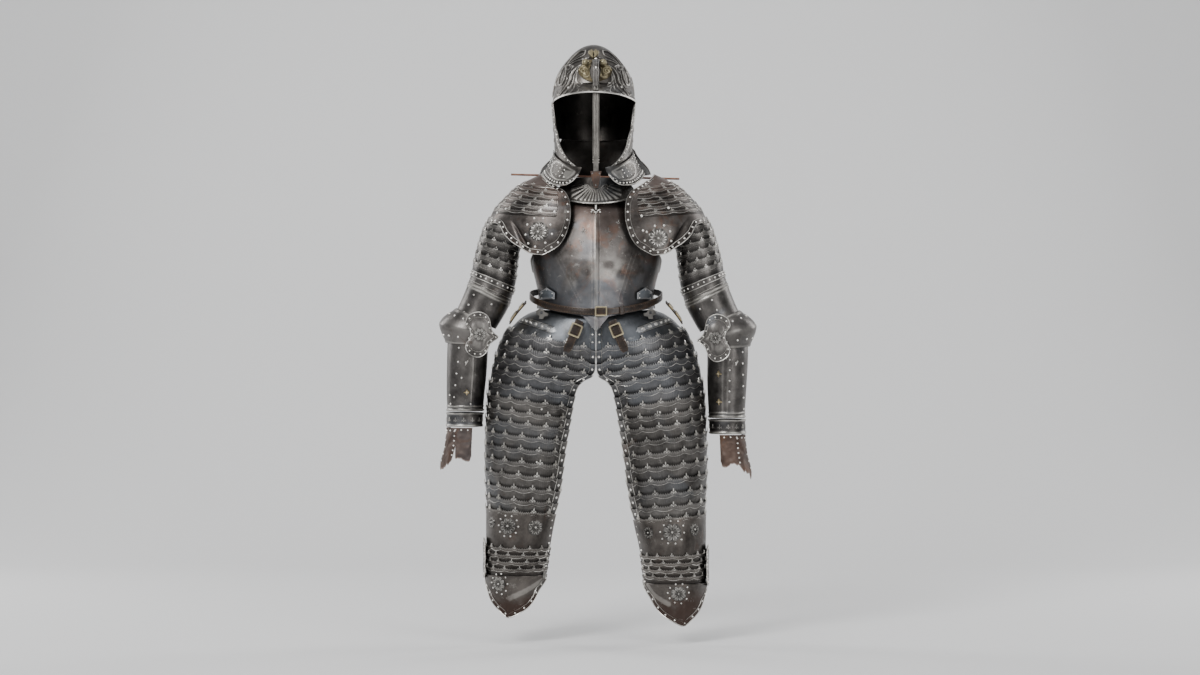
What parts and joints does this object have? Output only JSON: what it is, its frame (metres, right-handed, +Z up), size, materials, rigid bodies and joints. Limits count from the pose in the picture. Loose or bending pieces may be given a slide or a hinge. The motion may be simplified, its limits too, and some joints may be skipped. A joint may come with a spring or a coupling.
{
  "type": "suit of plate armour on a support rod",
  "caption": "Three-quarter suit of plate armour, worn form with no wearer: open-faced helmet, laminated arms and long laminated thigh plates ending in pointed knee plates, held on a rod.",
  "frame": {"origin": "middle of the support rod, at the base of the neck", "axes": "+Z up, front towards -Y, the wearer's right towards -X"},
  "size_m": [0.7568, 0.3246, 1.3843],
  "materials": {
    "steel_dark": "aged browned steel with bright worn edges",
    "steel_blue": "worn steel with a bluish grey and reddish brown patina",
    "steel_bright": "rubbed bright steel",
    "russet_iron": "brown corroded iron",
    "brass": "aged gilt brass",
    "leather": "dark brown worn leather"
  },
  "bodies": {
    "armour": {"cheek_right": "steel_dark", "collar_right": "steel_dark", "waist_plate_right": "steel_bright", "pauldron_right": "steel_dark", "arm_lames_right": "steel_dark", "upper_cannon_right": "steel_dark", "couter_right": "steel_dark", "couter_wing_right": "steel_dark", "lower_cannon_right": "steel_dark", "cuff_right": "steel_dark", "hand_plate_right": "russet_iron", "hip_plate_right": "steel_blue", "thigh_lames_upper_right": "steel_dark", "thigh_lames_middle_right": "steel_dark", "thigh_lames_lower_right": "steel_dark", "knee_plate_right": "steel_dark", "knee_lames_right": "steel_dark", "poleyn_right": "steel_dark", "poleyn_wing_right": "steel_dark", "hip_strap_right": "leather", "hip_buckle_right": "brass", "turning_hook_right": "steel_bright", "side_strap_right": "leather", "cheek_left": "steel_dark", "collar_left": "steel_dark", "waist_plate_left": "steel_bright", "pauldron_left": "steel_dark", "arm_lames_left": "steel_dark", "upper_cannon_left": "steel_dark", "couter_left": "steel_dark", "couter_wing_left": "steel_dark", "lower_cannon_left": "steel_dark", "cuff_left": "steel_dark", "hand_plate_left": "russet_iron", "hip_plate_left": "steel_blue", "thigh_lames_upper_left": "steel_dark", "thigh_lames_middle_left": "steel_dark", "thigh_lames_lower_left": "steel_dark", "knee_plate_left": "steel_dark", "knee_lames_left": "steel_dark", "poleyn_left": "steel_dark", "poleyn_wing_left": "steel_dark", "hip_strap_left": "leather", "hip_buckle_left": "brass", "turning_hook_left": "steel_bright", "side_strap_left": "leather", "helmet_skull": "steel_dark", "brow_hook": "steel_dark", "brow_ornament": "brass", "neck_guard": "steel_dark", "gorget_front": "steel_dark", "gorget_back": "steel_dark", "nasal_bracket": "russet_iron", "support_rod": "russet_iron", "breastplate": "steel_blue", "backplate": "steel_dark", "belt": "leather", "belt_buckle": "brass", "belt_keeper": "leather"},
    "nasal": {"nasal_bar": "steel_bright"}
  },
  "joints": [
    {"name": "nasal_slide", "type": "slide", "parent": "armour", "child": "nasal", "axis": [0, 0, 1], "range_m": [0, 0.03]}
  ]
}
